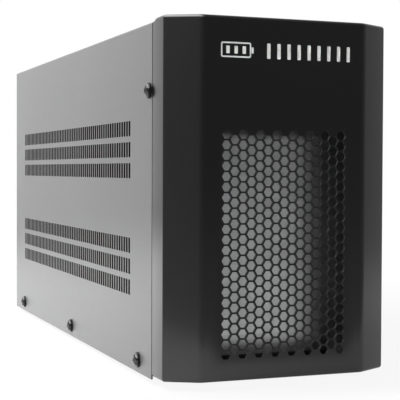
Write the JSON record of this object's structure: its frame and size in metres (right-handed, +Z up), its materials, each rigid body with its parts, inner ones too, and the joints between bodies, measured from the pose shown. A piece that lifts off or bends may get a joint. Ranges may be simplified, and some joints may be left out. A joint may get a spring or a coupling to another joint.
{
  "type": "ups battery cartridge",
  "caption": "Upright steel battery pack case with a moulded front, hexagon grille and slotted sides, holding sealed blocks that extend a backup power supply.",
  "frame": {"origin": "under the middle of the case, on the surface that the rubber feet stand on", "axes": "+X across the case, to the right of a person facing the moulded front; +Y from the moulded front to the rear connectors; +Z up"},
  "size_m": [0.1512, 0.426, 0.2178],
  "materials": {
    "case_paint": "fine-textured satin powder coat, mid grey",
    "front_plastic": "fine-grained, black",
    "sheet_steel": "dull galvanised sheet",
    "screw_black": "black oxide",
    "foot_rubber": "matt",
    "block_case": "moulded, dark grey",
    "liner_sheet": "smooth off-white sheet",
    "foam": "closed-cell foam, dark grey",
    "bar_copper": "tinned and bare copper bar",
    "connector_plastic": "moulded, grey"
  },
  "bodies": {
    "root": {"cover": "case_paint", "base_tray": "sheet_steel", "front_plate": "sheet_steel", "rear_panel": "case_paint", "front_bezel": "front_plastic", "base_screws": "screw_black", "corner_screws": "screw_black", "rubber_feet": "foot_rubber", "battery_shelf": "sheet_steel", "rear_stop": "sheet_steel", "tray_liner": "liner_sheet", "shelf_liner": "liner_sheet", "block_lower_front_left": "block_case", "block_lower_front_right": "block_case", "block_lower_rear_left": "block_case", "block_lower_rear_right": "block_case", "block_upper_front_left": "block_case", "block_upper_front_right": "block_case", "block_upper_rear_left": "block_case", "block_upper_rear_right": "block_case", "front_foam": "foam", "top_foam": "foam", "jumper_links": "bar_copper", "lead_positive": "bar_copper", "lead_negative": "bar_copper", "connector_lower": "connector_plastic", "connector_upper": "connector_plastic", "connector_contacts": "bar_copper"}
  },
  "joints": []
}
